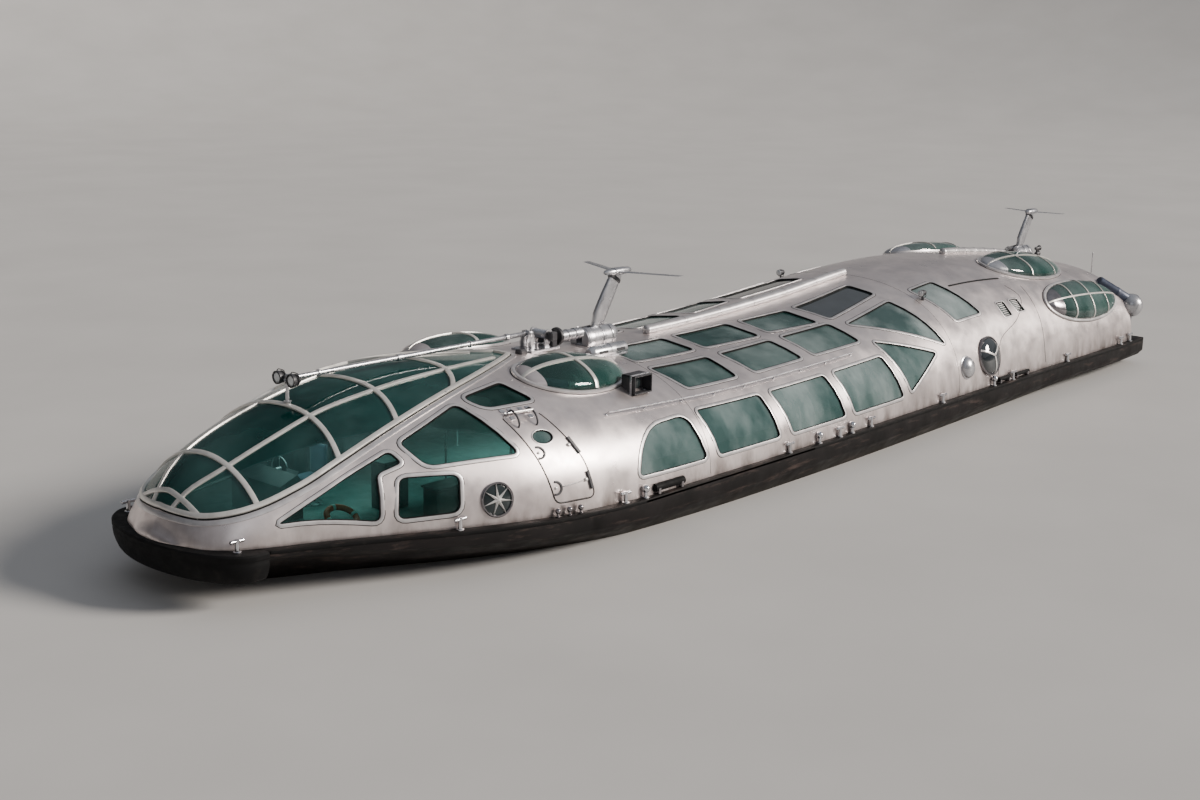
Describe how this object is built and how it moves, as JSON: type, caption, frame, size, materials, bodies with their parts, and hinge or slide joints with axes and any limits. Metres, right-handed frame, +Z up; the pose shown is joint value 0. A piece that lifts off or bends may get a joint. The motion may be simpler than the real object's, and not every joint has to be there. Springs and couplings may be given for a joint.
{
  "type": "water bus",
  "caption": "River passenger boat with a rounded silver body, framed glass canopy over the bow, roof domes, side doors, folding masts, twin screws and rudders.",
  "frame": {"origin": "middle of the boat's length on its centre line, at the waterline", "axes": "+X forward to the bow, +Y to port, +Z up"},
  "size_m": [33.25, 8, 6.0323],
  "materials": {
    "hull_black": "matte black paint",
    "fender_rubber": "black rubber",
    "body_silver": "silver metallic paint",
    "frame_cream": "cream silver satin paint",
    "tinted_glass": "teal tinted glass",
    "fitting_steel": "satin metal",
    "fitting_dark": "dark satin paint",
    "propeller_bronze": "cast bronze",
    "engine_paint": "machinery grey green",
    "seat_blue": "blue grey upholstery",
    "lifebuoy_orange": "orange plastic"
  },
  "bodies": {
    "boat": {"hull": "hull_black", "bow_fender": "fender_rubber", "body_front": "body_silver", "body_middle": "body_silver", "body_rear": "body_silver", "body_tail": "body_silver", "canopy_frame": "frame_cream", "canopy_glass": "tinted_glass", "cabin_glass": "tinted_glass", "front_side_glass_port": "tinted_glass", "front_side_glass_stbd": "tinted_glass", "dome_fwd_port": "tinted_glass", "dome_fwd_stbd": "tinted_glass", "dome_aft_port": "tinted_glass", "dome_aft_stbd": "tinted_glass", "dome_side_port": "tinted_glass", "dome_side_stbd": "tinted_glass", "porthole_fwd_port": "fitting_steel", "porthole_fwd_stbd": "fitting_steel", "porthole_aft_port": "tinted_glass", "porthole_aft_stbd": "tinted_glass", "side_boss_port": "fitting_steel", "side_boss_stbd": "fitting_steel", "side_lamp_port": "fitting_dark", "side_lamp_stbd": "fitting_dark", "floodlight_port": "fitting_dark", "floodlight_stbd": "fitting_dark", "stern_pod_port": "fitting_steel", "stern_pod_stbd": "fitting_steel", "engine_port": "engine_paint", "engine_stbd": "engine_paint", "seats_port": "seat_blue", "seats_stbd": "seat_blue", "roof_duct_fwd": "body_silver", "roof_duct_aft": "body_silver", "mast_fwd_base": "fitting_steel", "mast_aft_base": "fitting_steel", "boom_pivot": "fitting_steel", "boom_rest": "fitting_steel", "horn_post": "fitting_dark", "flagstaff": "fitting_steel", "helm_console": "fitting_dark", "helm_seat": "fitting_dark", "lifebuoy": "lifebuoy_orange"},
    "door_port_body": {"door_port": "body_silver", "door_glass_port": "tinted_glass"},
    "door_stbd_body": {"door_stbd": "body_silver", "door_glass_stbd": "tinted_glass"},
    "propeller_port_body": {"propeller_port": "propeller_bronze"},
    "propeller_stbd_body": {"propeller_stbd": "propeller_bronze"},
    "rudder_port_body": {"rudder_port": "hull_black"},
    "rudder_stbd_body": {"rudder_stbd": "hull_black"},
    "mast_fwd_body": {"mast_fwd": "fitting_steel"},
    "mast_aft_body": {"mast_aft": "fitting_steel"},
    "lamp_boom_body": {"lamp_boom": "fitting_steel"}
  },
  "joints": [
    {"name": "door_port_hinge", "type": "hinge", "parent": "boat", "child": "door_port_body", "pos_m": [9.43, 2.7286, 2.7772], "axis": [0.9919, -0.1229, 0.0323], "range_deg": [0, 75]},
    {"name": "door_stbd_hinge", "type": "hinge", "parent": "boat", "child": "door_stbd_body", "pos_m": [9.43, -2.7286, 2.7772], "axis": [-0.9919, -0.1229, -0.0323], "range_deg": [0, 75]},
    {"name": "propeller_port_shaft", "type": "hinge", "parent": "boat", "child": "propeller_port_body", "pos_m": [-13.4, 1.3, -0.95], "axis": [0.9967, 0, 0.0817], "continuous": true},
    {"name": "propeller_stbd_shaft", "type": "hinge", "parent": "boat", "child": "propeller_stbd_body", "pos_m": [-13.4, -1.3, -0.95], "axis": [0.9967, 0, 0.0817], "continuous": true},
    {"name": "rudder_port_stock", "type": "hinge", "parent": "boat", "child": "rudder_port_body", "pos_m": [-14.55, 1.3, -0.42], "axis": [0, 0, 1], "range_deg": [-35, 35]},
    {"name": "rudder_stbd_stock", "type": "hinge", "parent": "boat", "child": "rudder_stbd_body", "pos_m": [-14.55, -1.3, -0.42], "axis": [0, 0, 1], "range_deg": [-35, 35]},
    {"name": "mast_fwd_fold", "type": "hinge", "parent": "boat", "child": "mast_fwd_body", "pos_m": [4.8, 0, 3.33], "axis": [0, -1, 0], "range_deg": [0, 45]},
    {"name": "mast_aft_fold", "type": "hinge", "parent": "boat", "child": "mast_aft_body", "pos_m": [-14.9, 0, 3.29], "axis": [0, -1, 0], "range_deg": [0, 45]},
    {"name": "lamp_boom_lift", "type": "hinge", "parent": "boat", "child": "lamp_boom_body", "pos_m": [6.9, 0, 3.56], "axis": [0, -1, 0], "range_deg": [0, 80]}
  ]
}
